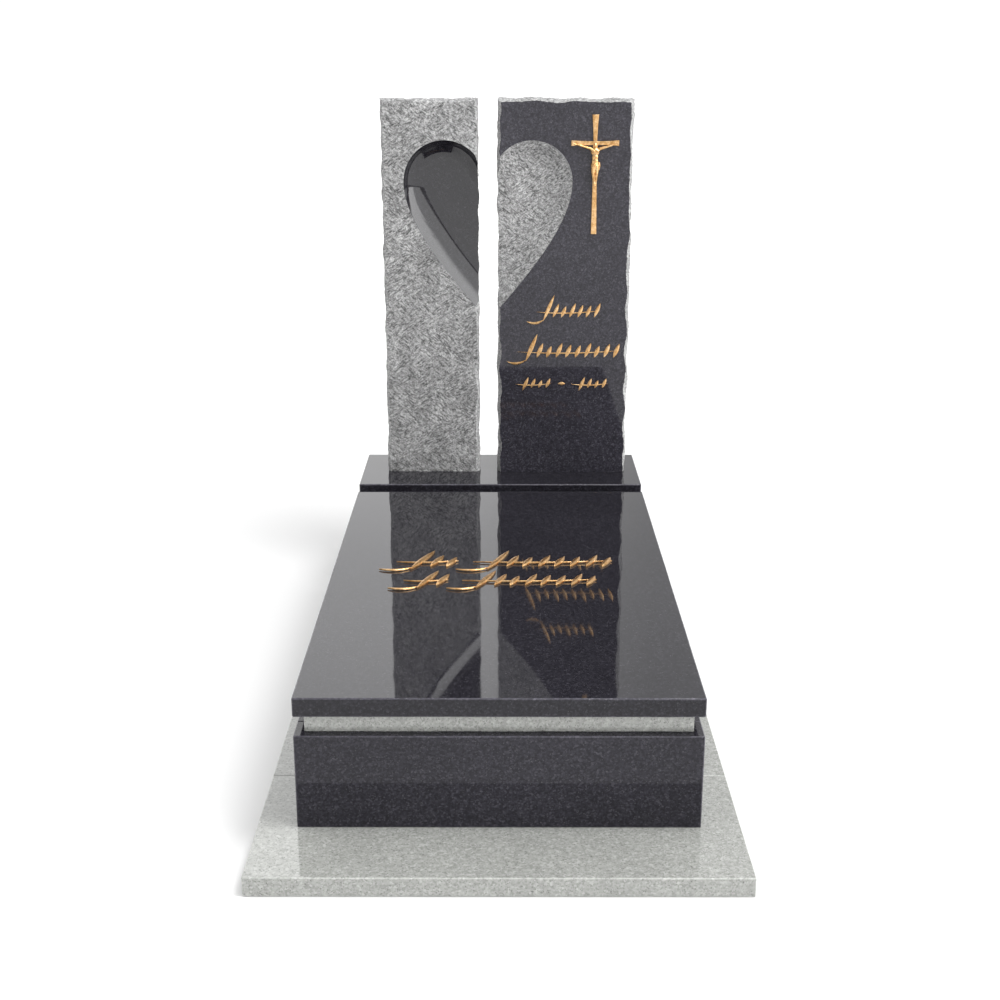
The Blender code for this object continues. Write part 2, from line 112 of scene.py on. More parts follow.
def tinted(finish, below, above, share, way="MULTIPLY"):
    """Two colours laid over each other."""
    made = finish.node_tree.nodes.new("ShaderNodeMixRGB")
    made.blend_type = way
    for socket, plug in zip(made.inputs, (share, below, above)):
        if isinstance(plug, bpy.types.NodeSocket):
            finish.node_tree.links.new(plug, socket)
        else:
            socket.default_value = plug
    return made.outputs[0]


def light_granite_finish(name, tone, polish):
    """Light granite; tone scales how light its grains are, polish is its least and greatest roughness."""
    finish, shader, place = blank_finish(name)
    feldspar = crystals(finish, place, FELDSPAR_SIZE, (
        (0.0, (0.280, 0.287, 0.269)), (0.25, (0.325, 0.332, 0.313)), (0.60, (0.354, 0.359, 0.342)),
        (0.90, (0.405, 0.408, 0.394))))
    mica = crystals(finish, place, MICA_SIZE, ((0.0, 1.0), (0.90, 0.78), (0.97, 0.52)))
    speckled = tinted(finish, feldspar, mica, 1.0)
    drift = knot(finish, "ShaderNodeTexNoise", Vector=place, Scale=75.0, Detail=4.0, Roughness=0.6)
    mottled = tinted(finish, speckled, shades(finish, drift, ((0.32, 0.90 * tone), (0.66, 1.09 * tone))), 1.0)
    clouds = knot(finish, "ShaderNodeTexNoise", Vector=place, Scale=5.0, Detail=3.0)
    veiled = tinted(finish, mottled, shades(finish, clouds, ((0.30, 0.94), (0.70, 1.05))), 1.0)
    finish.node_tree.links.new(veiled, shader.inputs["Base Color"])
    shader.inputs["IOR"].default_value = LIGHT_GRANITE_IOR
    rub = knot(finish, "ShaderNodeTexNoise", Vector=place, Scale=12.0, Detail=4.0)
    finish.node_tree.links.new(
        shades(finish, rub, ((0.35, polish[0]), (0.70, polish[1]))), shader.inputs["Roughness"])
    finish.node_tree.links.new(
        knot(finish, "ShaderNodeBump", Strength=0.04, Distance=0.0003, Height=speckled), shader.inputs["Normal"])
    return finish


def sawn_stone(name, arris, faces_finish, arris_with_painted_highlight_finish):
    """A sawn slab in its place, its arrises ground over by hand and so not quite even, standing for the CAD one."""
    low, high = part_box(name)
    size = high - low
    bm = bmesh.new()
    bmesh.ops.create_cube(bm, size=1.0)
    bmesh.ops.scale(bm, vec=size, verts=bm.verts[:])
    bmesh.ops.translate(bm, vec=(low + high) / 2, verts=bm.verts[:])
    ground = bmesh.ops.bevel(
        bm, geom=bm.edges[:], offset=arris, offset_type="OFFSET", segments=ARRIS_ROUNDS, profile=0.5, affect="EDGES")
    # The arris faces take the second finish, whose paler tone is partly a honed edge's own pallor and partly a
    # painted highlight along every edge.
    for face in ground["faces"]:
        face.material_index = 1
    for axis in range(3):
        normal = Vector([float(axis == other) for other in range(3)])
        steps = round(size[axis] / ARRIS_STEP)
        for step in range(1, steps):
            at = low[axis] + size[axis] * step / steps
            near = [e for e in bm.edges if (e.verts[0].co[axis] - at) * (e.verts[1].co[axis] - at) < 0]
            faces = {f for e in near for f in e.link_faces}
            bmesh.ops.bisect_plane(bm, geom=list(faces) + near, plane_co=normal * at, plane_no=normal)
    for vertex in bm.verts:
        inward = Vector()
        for axis in range(3):
            if vertex.co[axis] < low[axis] + arris * NEAR_ARRIS:
                inward[axis] += 1.0
            if vertex.co[axis] > high[axis] - arris * NEAR_ARRIS:
                inward[axis] -= 1.0
        on_an_arris = sum(map(abs, inward)) > 1.5
        if on_an_arris:
            wear = max(0.0, noise.noise(vertex.co * WEAR_PER_METRE) + WEAR_EVERYWHERE)
            vertex.co += inward * ARRIS_WEAR * wear
    mesh = bpy.data.meshes.new(name + "_stone")
    bm.to_mesh(mesh)
    bm.free()
    mesh.materials.append(faces_finish)
    mesh.materials.append(arris_with_painted_highlight_finish)
    stone = bpy.data.objects.new(name + "_stone", mesh)
    bpy.context.scene.collection.objects.link(stone)
    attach(stone, "root")
    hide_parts(name)


light_granite = light_granite_finish("polished_light_granite", 1.04, (0.03, 0.06))
# The ground arrises are paler than the faces: in part a honed edge's own pallor, in part a painted highlight along
# the edges.
light_arris_with_painted_highlight = light_granite_finish("ground_light_arris_with_painted_highlight", 1.30, (0.35, 0.50))
for side in ("front", "left", "right", "back"):
    sawn_stone(f"plinth_{side}", PLINTH_ARRIS, light_granite, light_arris_with_painted_highlight)

# Kerb: four curbs of dark granite on edge, 25 cm high and 8 cm thick, polished to a mirror on every seen side.
# They are dowelled and glued at the corners and stand on the plinth.
KERB_ARRIS = 0.0030
DARK_GRAIN_SIZE = 0.0046
FLECK_SIZE = 0.0020


def dark_granite_finish(name, tone, gloss, polish=(0.025, 0.055)):
    """Dark granite; tone scales how light its grains are, gloss is its refraction, polish its roughness."""
    finish, shader, place = blank_finish(name)
    body = crystals(finish, place, DARK_GRAIN_SIZE, (
        (0.0, (0.0172, 0.0162, 0.0212)), (0.35, (0.0228, 0.0215, 0.0280)), (0.70, (0.0302, 0.0287, 0.0366)),
        (0.92, (0.0420, 0.0402, 0.0495))))
    flecks = crystals(finish, place, FLECK_SIZE, ((0.0, 0.0), (0.94, 0.016), (0.985, 0.045)))
    speckled = tinted(finish, body, flecks, 1.0, "ADD")
    drift = knot(finish, "ShaderNodeTexNoise", Vector=place, Scale=85.0, Detail=4.0, Roughness=0.6)
    mottled = tinted(finish, speckled, shades(finish, drift, ((0.32, 0.76 * tone), (0.68, 1.22 * tone))), 1.0)
    clouds = knot(finish, "ShaderNodeTexNoise", Vector=place, Scale=3.5, Detail=3.0)
    veiled = tinted(finish, mottled, shades(finish, clouds, ((0.30, 0.90), (0.70, 1.08))), 1.0)
    finish.node_tree.links.new(veiled, shader.inputs["Base Color"])
    shader.inputs["IOR"].default_value = gloss
    rub = knot(finish, "ShaderNodeTexNoise", Vector=place, Scale=9.0, Detail=5.0)
    finish.node_tree.links.new(
        shades(finish, rub, ((0.35, polish[0]), (0.75, polish[1]))), shader.inputs["Roughness"])
    swell = knot(finish, "ShaderNodeTexNoise", Vector=place, Scale=2.2, Detail=1.0)
    finish.node_tree.links.new(
        knot(finish, "ShaderNodeBump", Strength=0.05, Distance=0.004, Height=swell), shader.inputs["Normal"])
    return finish


# The kerb's granite is toned lighter than the lid's: painted light on upright faces that get less light than the
# tops.
kerb_granite_painted_light = dark_granite_finish("polished_kerb_granite_painted_light", 1.12, 1.34)
# The ground dark arrises are much paler than the faces: in part a honed edge's own pallor, in part a painted
# highlight along the edges.
dark_arris_with_painted_highlight = dark_granite_finish("ground_dark_arris_with_painted_highlight", 2.3, 1.45, (0.35, 0.50))
for side in ("front", "left", "right", "back"):
    sawn_stone(f"kerb_{side}", KERB_ARRIS, kerb_granite_painted_light, dark_arris_with_painted_highlight)

# Band: four strips of light granite, 5 cm high, sawn and polished like the plinth. They are bedded on the kerb,
# 2.5 cm back from its face, so that the lid seems to float.
BAND_ARRIS = 0.0012
for side in ("front", "left", "right", "back"):
    sawn_stone(f"band_{side}", BAND_ARRIS, light_granite, light_arris_with_painted_highlight)

# Lid and head slab: polished dark granite laid on the band. The lid covers the grave; the head slab behind it is
# 1.5 cm thicker, lies apart from it by a joint of 3.5 cm and carries the steles.
LID_ARRIS = 0.0035
# The lid's granite is toned darker than the kerb's: painted shade on top faces that catch more light.
lid_granite_painted_shade = dark_granite_finish("polished_lid_granite_painted_shade", 0.72, 1.39)
sawn_stone("cover_slab", LID_ARRIS, lid_granite_painted_shade, dark_arris_with_painted_highlight)
sawn_stone("headstone_base", LID_ARRIS, lid_granite_painted_shade, dark_arris_with_painted_highlight)

# Steles: two upright slabs of granite, 8 cm thick, whose sides and top are pitched with a chisel. The narrow one is
# split rough in front, the wide one polished. One heart is hollowed across both: polished in the narrow stele, left
# rough in the wide one. They are dowelled to the head slab.
STELE_HEIGHT = 1.319
STELE_THICKNESS = 0.080
STELE_FACE_Y = 0.8775
STELE_FOOT_Z = 0.4162
GAP_X = -0.0425
CELL = 0.0034
FRONT, PITCHED, BACK, HOLLOW = range(4)
EDGE_SHARE = 0.25
EDGE_ALLOWANCE = 0.0006
JAG_DEPTH = 0.0011
JAG_LENGTH = 0.009
JAG_WIDTH = 0.012
PITCH_FRONT = 0.0150
PITCH_BACK = 0.0060
PITCH_WANDER = 0.0080
PITCH_WAVE = 0.070
CHIP_DEPTH = 0.0120
CHIP_WAVE = 0.060
WANDER_SWING = 0.53
SPALL_SIZE = 0.016
SPALL_DEPTH = 0.0032
SPALL_SHIFT = 0.4
SPALL_BASE = 0.75
SPALL_SPREAD = 0.25
SPALL_ROUND = 0.9
SPALL_TILT = 0.55
SPALL_LIMIT = 1.3
SPLIT_DEPTH = 0.0100
SPLIT_WAVE = 0.085
COARSE_SHARE = 0.65
STREAK_DEPTH = 0.0022
STREAK_SHARE = 0.62
STREAK_LIMIT = 1.6
STREAK_LENGTH = 0.060
STREAK_WIDTH = 0.020
STREAK_TURN = math.radians(38)
PIT_DEPTH = 0.0013
PIT_SIZE = 0.014


def wander(a, b, wave, seed):
    """Smooth noise about a half, within 0 and 1, at a place on the stone."""
    return 0.5 + WANDER_SWING * noise.noise(Vector((a / wave, b / wave, seed)))


def spalls(a, b, seed):
    """Depth of small flat chips, each a tilted cut; the deepest cut counts."""
    depth = 0.0
    cell_a, cell_b = math.floor(a / SPALL_SIZE), math.floor(b / SPALL_SIZE)
    for i in (cell_a - 1, cell_a, cell_a + 1):
        for k in (cell_b - 1, cell_b, cell_b + 1):
            dice = noise.cell_vector(Vector((i + 0.5, k + 0.5, seed)))
            tilt = noise.cell_vector(Vector((i + 0.5, k + 0.5, seed + 31.0)))
            off_a = a / SPALL_SIZE - (i + 0.5 + SPALL_SHIFT * dice.x)
            off_b = b / SPALL_SIZE - (k + 0.5 + SPALL_SHIFT * dice.y)
            cut = SPALL_BASE + SPALL_SPREAD * dice.z - SPALL_ROUND * (off_a * off_a + off_b * off_b)
            cut += SPALL_TILT * (tilt.x * off_a + tilt.y * off_b)
            depth = max(depth, cut)
    return SPALL_DEPTH * min(depth, SPALL_LIMIT)


def pitched_back(share, along, depth, seed):
    """How far the chisel took an edge back at one depth in the stone: most in front, least in the middle."""
    front = PITCH_FRONT + PITCH_WANDER * (2 * wander(along, 0.0, PITCH_WAVE, seed) - 1)
    chips = CHIP_DEPTH * wander(along, depth, CHIP_WAVE, seed + 7.3)
    back = PITCH_BACK + chips
    if share < EDGE_SHARE:
        steep = share / EDGE_SHARE
        pull = front * (1 - steep) + chips * steep
    elif share > 1 - EDGE_SHARE:
        steep = (share - (1 - EDGE_SHARE)) / EDGE_SHARE
        pull = chips * (1 - steep) + back * steep
    else:
        pull = chips
    jag = JAG_DEPTH * noise.noise(Vector((along / JAG_LENGTH, depth / JAG_WIDTH, seed + 4.0)))
    return max(0.0, pull + spalls(along, depth + 0.1, seed) - EDGE_ALLOWANCE + jag)


def split_relief(x, z, seed):
    """Depth of the split face: broad swells, slanting streaks and small pits."""
    coarse = wander(x, z, SPLIT_WAVE, seed + 11.0)
    fine = wander(x, z, CHIP_WAVE, seed + 12.0)
    swell = SPLIT_DEPTH * (COARSE_SHARE * coarse + (1 - COARSE_SHARE) * fine)
    u = x * math.cos(STREAK_TURN) + z * math.sin(STREAK_TURN)
    v = z * math.cos(STREAK_TURN) - x * math.sin(STREAK_TURN)
    spot = Vector((u / STREAK_LENGTH, v / STREAK_WIDTH, seed))
    streak = noise.ridged_multi_fractal(spot, 0.9, 2.1, 4, 0.9, 2.0, noise_basis="PERLIN_ORIGINAL")
    spot = Vector((x / PIT_SIZE, z / PIT_SIZE, seed + 5.0))
    pits = noise.fractal(spot, 0.8, 2.0, 3, noise_basis="PERLIN_ORIGINAL")
    return swell + STREAK_DEPTH * min(streak, STREAK_LIMIT) * STREAK_SHARE + PIT_DEPTH * pits


def pitched_block(width, split_face, seed):
    """Points and faces of a stele about its foot's middle: front, pitched strip all round, back."""
    across, up, deep = (round(size / CELL) for size in (width, STELE_HEIGHT, STELE_THICKNESS))
    points, faces, kinds = [], [], []

    def place(i, k, share):
        x, z = width * (i / across - 0.5), STELE_HEIGHT * k / up
        depth = share * STELE_THICKNESS
        side_pull = pitched_back(share, z, depth, seed + math.copysign(1.0, x))
        top_pull = pitched_back(share, x, depth, seed + 3.1)
        y = depth
        if split_face:
            y += split_relief(x, z, seed) * (1 - share) ** 2
        return (x - side_pull * x / (width / 2), y, z - top_pull * z / STELE_HEIGHT)

    rim = [(i, 0) for i in range(across)] + [(across, k) for k in range(up)]
    rim += [(i, up) for i in range(across, 0, -1)] + [(0, k) for k in range(up, 0, -1)]
    front = {}
    for i, k in rim:
        front[i, k] = len(points)
        points.append(place(i, k, 0.0))
    if split_face:
        for i in range(1, across):
            for k in range(1, up):
                front[i, k] = len(points)
                points.append(place(i, k, 0.0))
        for i in range(across):
            for k in range(up):
                faces.append((front[i, k], front[i + 1, k], front[i + 1, k + 1], front[i, k + 1]))
                kinds.append(FRONT)
    else:
        faces.append(tuple(front[spot] for spot in rim))
        kinds.append(FRONT)
    near = [front[spot] for spot in rim]
    for row in range(1, deep + 1):
        share = row / deep
        far = list(range(len(points), len(points) + len(rim)))
        points.extend(place(i, k, share) for i, k in rim)
        for index in range(len(rim)):
            after = (index + 1) % len(rim)
            faces.append((near[index], far[index], far[after], near[after]))
            kinds.append(PITCHED)
        near = far
    faces.append(tuple(reversed(near)))
    kinds.append(BACK)
    return points, faces, kinds


HEART_TOP_DROP = 0.144
HEART_HALF_WIDTH = 0.290
HEART_HEIGHT = 0.620
HEART_CENTRE_SHARE = 0.58
LOBE_RADIUS = 0.139
NOTCH_ANGLE = math.radians(20)
TIP_ANGLE = math.radians(50)
FLANK_REACH = 0.155
TIP_REACH = 0.172
LOBE_HEIGHT = HEART_HEIGHT * (1 - HEART_CENTRE_SHARE) - LOBE_RADIUS
HEART_STEPS = 90
HOLLOW_DEPTH = 0.045
RIM_WIDTH = 0.088
STEEP_POWER = 4
GENTLE_FROM = 0.12
GENTLE_OVER = 0.42
EDGE_DEPTH_TORN = 0.0085
EDGE_DEPTH_ROUGH = 0.0005
ROUGH_LEFT_ON = 0.012
ROUGH_FADE = 0.012
ROUGH_RELIEF = 0.45
ROUGH_ALLOWANCE = 0.0005
CUTTER_STANDOFF = 0.05
RIM_RINGS = (1.0, 1.0, 0.996, 0.991)
INNER_RING = 0.985
RING_STEP = 0.0125
RING_COUNT = 78
CENTRE_RISE = 0.003
SHARP_STONE = math.radians(50)


def heart_line(steps):
    """The heart's outline around its own centre, from the notch over the left lobe to the tip and back."""
    top_z, tip_z = HEART_HEIGHT * (1 - HEART_CENTRE_SHARE), -HEART_HEIGHT * HEART_CENTRE_SHARE
    lobe = Vector((LOBE_RADIUS - HEART_HALF_WIDTH, top_z - LOBE_RADIUS))
    left = []
    for step in range(steps + 1):
        angle = NOTCH_ANGLE + (math.pi - NOTCH_ANGLE) * step / steps
        left.append(lobe + Vector((math.cos(angle), math.sin(angle))) * LOBE_RADIUS)
    widest, tip = left[-1], Vector((0.0, tip_z))
    flank = widest - Vector((0.0, FLANK_REACH))
    foot = tip + Vector((-math.cos(TIP_ANGLE), math.sin(TIP_ANGLE))) * TIP_REACH
    for step in range(1, steps + 1):
        t = step / steps
        s = 1 - t
        left.append(widest * s ** 3 + flank * 3 * s * s * t + foot * 3 * s * t * t + tip * t ** 3)
    return left + [Vector((-point.x, point.y)) for point in reversed(left[:-1])]


def hollow_depths(spots, line, rough):
    """Depth of the hollow at each spot: steep under the upper edge of the polished half, gentle from its flank."""
    start = np.array([(point.x, point.y) for point in line])
    along = np.roll(start, -1, axis=0) - start
    length = np.linalg.norm(along, axis=1)
    offset = spots[:, None, :] - start[None, :, :]
    share = np.clip((offset * along).sum(axis=2) / length ** 2, 0.0, 1.0)
    gap = np.linalg.norm(offset - share[:, :, None] * along, axis=2)
    nearest = gap.argmin(axis=1)
    rim = gap[np.arange(len(spots)), nearest]
    upward = np.abs(along[nearest, 0]) / length[nearest] * np.where(start[nearest, 1] > LOBE_HEIGHT, -1.0, 1.0)
    gentle = np.ones(len(spots)) if rough else np.clip((upward - GENTLE_FROM) / GENTLE_OVER, 0.0, 1.0)
    inner = np.clip(rim / RIM_WIDTH, 0.0, 1.0)
    edge = EDGE_DEPTH_ROUGH if rough else EDGE_DEPTH_TORN
    deep = HOLLOW_DEPTH - (ROUGH_LEFT_ON if rough else 0.0) - edge
    curve = gentle * np.sin(inner * math.pi / 2) + (1 - gentle) * (1 - (1 - inner) ** STEEP_POWER)
    return edge + deep * curve


def closed_mesh(name, points, faces):
    """A mesh of a closed body, all its faces looking out."""
    mesh = bpy.data.meshes.new(name)
    mesh.from_pydata(points, [], faces)
    bm = bmesh.new()
    bm.from_mesh(mesh)
    bmesh.ops.recalc_face_normals(bm, faces=bm.faces[:])
    bm.to_mesh(mesh)
    bm.free()
    return mesh


def heart_hollow(name, rough):
    """The body that was cut out for the heart, rough or smooth."""
    line = heart_line(HEART_STEPS)
    outline = np.array([(point.x, point.y) for point in line])
    rings = [*RIM_RINGS] + [INNER_RING - RING_STEP * step for step in range(RING_COUNT)]
    points, faces = [], []
    for number, scale in enumerate(rings):
        depths = hollow_depths(outline * scale, line, rough)
        for (x, z), y in zip(outline * scale, depths):
            if number == 0:
                y = -CUTTER_STANDOFF
            elif rough:
                held = min(1.0, y / ROUGH_FADE)
                y -= held * (ROUGH_RELIEF * split_relief(x, z, 21.0) + ROUGH_ALLOWANCE)
            points.append((x, y, z))
    count = len(line)
    for ring in range(len(rings) - 1):
        for index in range(count):
            after = (index + 1) % count
            a, b = ring * count, (ring + 1) * count
            faces.append((a + index, a + after, b + after, b + index))
    faces.append(tuple(range(count)))
    points.append((0.0, HOLLOW_DEPTH - (ROUGH_LEFT_ON + CENTRE_RISE if rough else 0.0), 0.0))
    last = (len(rings) - 1) * count
    for index in range(count):
        faces.append((last + index, last + (index + 1) % count, len(points) - 1))
    hollow = bpy.data.objects.new(name, closed_mesh(name, points, faces))
    centre_z = STELE_FOOT_Z + STELE_HEIGHT - HEART_TOP_DROP - HEART_HEIGHT * (1 - HEART_CENTRE_SHARE)
    hollow.location = (GAP_X, STELE_FACE_Y, centre_z)
    bpy.context.scene.collection.objects.link(hollow)
    return hollow


def carved_stele(name, width, left_x, split_face, seed, finishes):
    """A pitched slab with its half of the heart cut in; finishes are for front, edges, back and hollow."""
    points, faces, kinds = pitched_block(width, split_face, seed)
    mesh = closed_mesh(name + "_block", points, faces)
    mesh.polygons.foreach_set("material_index", kinds)
    for finish in finishes:
        mesh.materials.append(finish)
    block = bpy.data.objects.new(name + "_block", mesh)
    block.location = (left_x + width / 2, STELE_FACE_Y, STELE_FOOT_Z)
    bpy.context.scene.collection.objects.link(block)
    hollow = heart_hollow(name + "_hollow", not split_face)
    for finish in finishes:
        hollow.data.materials.append(finish)
    hollow.data.polygons.foreach_set("material_index", [HOLLOW] * len(hollow.data.polygons))
    cut = block.modifiers.new("heart", "BOOLEAN")
    cut.operation = "DIFFERENCE"
    cut.solver = "MANIFOLD"
    cut.object = hollow
    bpy.context.view_layer.update()
    carved = bpy.data.meshes.new_from_object(block.evaluated_get(bpy.context.evaluated_depsgraph_get()))
    carved.transform(block.matrix_world)
    carved.name = name + "_stone"
    bm = bmesh.new()
    bm.from_mesh(carved)
    for face in bm.faces:
        face.smooth = split_face or face.material_index != FRONT
    for edge in bm.edges:
        sides = {face.material_index for face in edge.link_faces}
        edge.smooth = len(sides) == 1 and edge.calc_face_angle(0.0) < SHARP_STONE
    bm.to_mesh(carved)
    bm.free()
    for item in (block, hollow):
        bpy.data.objects.remove(item, do_unlink=True)
    stele = bpy.data.objects.new(name + "_stone", carved)
    bpy.context.scene.collection.objects.link(stele)
    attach(stele, "root")
    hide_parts(name)


TORN_GRAIN_SIZE = 0.0040
TORN_MICA_SIZE = 0.0020
RIPPLE_SIZE = (0.0150, 0.0080, 0.0050)


def split_grey_granite(name, light, ripple_shade_share):
    """Granite as it breaks: matt, pale crystals with dark grains, and short slanting ripples crossing each other,
    with painted shade in the ripples' hollows and painted light on their crests.
    """
    finish, shader, place = blank_finish(name)
    body = crystals(finish, place, TORN_GRAIN_SIZE, (
        (0.0, 0.70 * light), (0.25, 0.92 * light), (0.55, 1.04 * light), (0.85, 1.25 * light), (0.96, 0.50 * light)))
    mica = crystals(finish, place, TORN_MICA_SIZE, ((0.0, 1.0), (0.88, 0.70), (0.96, 0.42)))
    speckled = tinted(finish, body, mica, 0.8)
    tears = []
    for turn in (STREAK_TURN, -0.8 * STREAK_TURN):
        turned = knot(finish, "ShaderNodeMapping", vector_type="TEXTURE", Vector=place, Rotation=(0.0, turn, 0.0),
                      Scale=RIPPLE_SIZE)
        tears.append(knot(finish, "ShaderNodeTexNoise", Vector=turned, Scale=1.0, Detail=5.0, Roughness=0.62))
    patch = knot(finish, "ShaderNodeTexNoise", Vector=place, Scale=15.0, Detail=2.0)
    ripples = tinted(finish, tears[0], tears[1], shades(finish, patch, ((0.42, 0.0), (0.58, 1.0))), "MIX")
    # Painted shade and light: the colour follows the ripples that also drive the bump, darker in their hollows and
    # lighter on their crests, by the share given for this finish.
    ripple_shaded = tinted(finish, speckled, shades(finish, ripples, ((0.37, 0.30), (0.48, 0.90), (0.61, 1.50))), ripple_shade_share)
    clouds = knot(finish, "ShaderNodeTexNoise", Vector=place, Scale=11.0, Detail=4.0, Roughness=0.6)
    veiled = tinted(finish, ripple_shaded, shades(finish, clouds, ((0.30, 0.80), (0.70, 1.14))), 1.0)
    finish.node_tree.links.new(veiled, shader.inputs["Base Color"])
    shader.inputs["Roughness"].default_value = 0.78
    grit = knot(finish, "ShaderNodeTexNoise", Vector=place, Scale=260.0, Detail=5.0, Roughness=0.7)
    coarse = tinted(finish, grit, ripples, 0.6, "ADD")
    finish.node_tree.links.new(
        knot(finish, "ShaderNodeBump", Strength=0.9, Distance=0.0030, Height=coarse), shader.inputs["Normal"])
    return finish


torn_granite = split_grey_granite("split_grey_granite", 0.300, 1.0)
# The pitched edges are paler than the split face: partly the chiselled stone's own pallor, partly painted light
# lifting side strips that get less light.
pitched_granite_with_painted_light = split_grey_granite("pitched_grey_granite_with_painted_light", 0.370, 0.7)
hewn_granite = split_grey_granite("hewn_hollow_granite", 0.310, 1.0)
sawn_back = split_grey_granite("sawn_back_granite", 0.200, 0.15)
# The wide stele's polished face is toned lighter than the kerb: painted light on an upright face that gets little
# light.
face_granite_painted_light = dark_granite_finish("polished_face_granite_painted_light", 1.25, 1.40)
# The polished hollow is toned much darker than the polished face: painted shade in the recess.
mirror_hollow_painted_shade = dark_granite_finish("mirror_hollow_granite_painted_shade", 0.50, 1.60)

LEFT_WIDTH = 0.347
RIGHT_WIDTH = 0.477
GAP = 0.052
carved_stele("left_stele", LEFT_WIDTH, GAP_X - GAP / 2 - LEFT_WIDTH, True, 1.7,
             (torn_granite, pitched_granite_with_painted_light, sawn_back, mirror_hollow_painted_shade))
carved_stele("right_stele", RIGHT_WIDTH, GAP_X + GAP / 2, False, 5.2,
             (face_granite_painted_light, pitched_granite_with_painted_light, sawn_back, hewn_granite))

# Stroke rows: cast bronze strokes, gilt and satin brushed, pinned and glued to the stone. Each group of slanting
# strokes is threaded on a thin sweep. The lid's strokes are 9 mm high, the stele's 3 mm.
STROKE_SLANT = 0.42
STROKE_BELLY = 0.21
STROKE_SWAY = 0.12
STROKE_SWAY_TURN = 2.4
STROKE_DESCENT = 0.30
SWEEP_SHARE = 0.6
SWEEP_WIDTH = 0.0045
SWEEP_SAG = 0.12
SWEEP_LEAD = 1.2
SWEEP_TAIL = 0.8
SWEEP_START = 0.45
SWEEP_END = 0.55
GROUP_GAP = 0.8
STROKE_STATIONS = 18
STROKE_ARCH = 9
STROKE_END = 0.01
FLANK_RISE = 0.25
BACK_ROUNDNESS = 0.7
SHOULDER_RISE = 0.55
END_RISE = 0.55
SHARP_STROKE = math.radians(55)


def gilt_bronze():
    """Gilt bronze, a little uneven in tone and in polish."""
    finish, shader, place = blank_finish("gilt_bronze")
    tone = knot(finish, "ShaderNodeTexNoise", Vector=place, Scale=90.0, Detail=4.0)
    gold = shades(finish, tone, (
        (0.30, (0.520, 0.278, 0.103)), (0.52, (0.730, 0.445, 0.200)), (0.72, (0.860, 0.600, 0.335))))
    finish.node_tree.links.new(gold, shader.inputs["Base Color"])
    shader.inputs["Metallic"].default_value = 1.0
    rub = knot(finish, "ShaderNodeTexNoise", Vector=place, Scale=300.0, Detail=3.0)
    finish.node_tree.links.new(shades(finish, rub, ((0.35, 0.24), (0.65, 0.40))), shader.inputs["Roughness"])
    finish.node_tree.links.new(
        knot(finish, "ShaderNodeBump", Strength=0.25, Distance=0.0004, Height=rub), shader.inputs["Normal"])
    return finish


bronze = gilt_bronze()


def lens(points, faces, start, end, belly_left, belly_right, thickness, lift=0.0):
    """A pointed stroke with a rounded back: its outline bellies out on each side, its section is a low arch."""
    start, end = Vector(start), Vector(end)
    along = end - start
    left = Vector((-along.y, along.x)).normalized()
    lean, half = (belly_left - belly_right) / 2, (belly_left + belly_right) / 2
    first = len(points)
    for station in range(STROKE_STATIONS + 1):
        t = STROKE_END + (1 - 2 * STROKE_END) * station / STROKE_STATIONS
        swell = 4 * t * (1 - t)
        middle = start + along * t
        for step in range(STROKE_ARCH):
            turn = math.pi * step / (STROKE_ARCH - 1)
            spot = middle + left * swell * (lean + half * math.cos(turn))
            rise = SHOULDER_RISE
            if 0 < step < STROKE_ARCH - 1:
                rise = FLANK_RISE + (1 - FLANK_RISE) * math.sin(turn) ** BACK_ROUNDNESS
            points.append((spot.x, spot.y, lift + thickness * rise * (END_RISE + (1 - END_RISE) * swell ** 0.5)))
        for reach in (-1.0, 1.0):
            spot = middle + left * swell * (lean + half * reach)
            points.append((spot.x, spot.y, lift))
    ring = STROKE_ARCH + 2
    for station in range(STROKE_STATIONS):
        a, b = first + station * ring, first + (station + 1) * ring
        for step in range(ring):
            after = (step + 1) % ring
            faces.append((a + step, b + step, b + after, a + after))
    faces.append(tuple(first + step for step in range(ring)))
    faces.append(tuple(first + STROKE_STATIONS * ring + step for step in reversed(range(ring))))


def stroke_piece(name, points, faces, place):
    """One group of strokes in bronze, put in its place on the stone."""
    mesh = closed_mesh(name + "_bronze", [place @ Vector(point) for point in points], faces)
    mesh.materials.append(bronze)
    mesh.shade_smooth()
    mesh.set_sharp_from_angle(angle=SHARP_STROKE)
    piece = bpy.data.objects.new(name + "_bronze", mesh)
    bpy.context.scene.collection.objects.link(piece)
    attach(piece, "root")
    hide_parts(name)


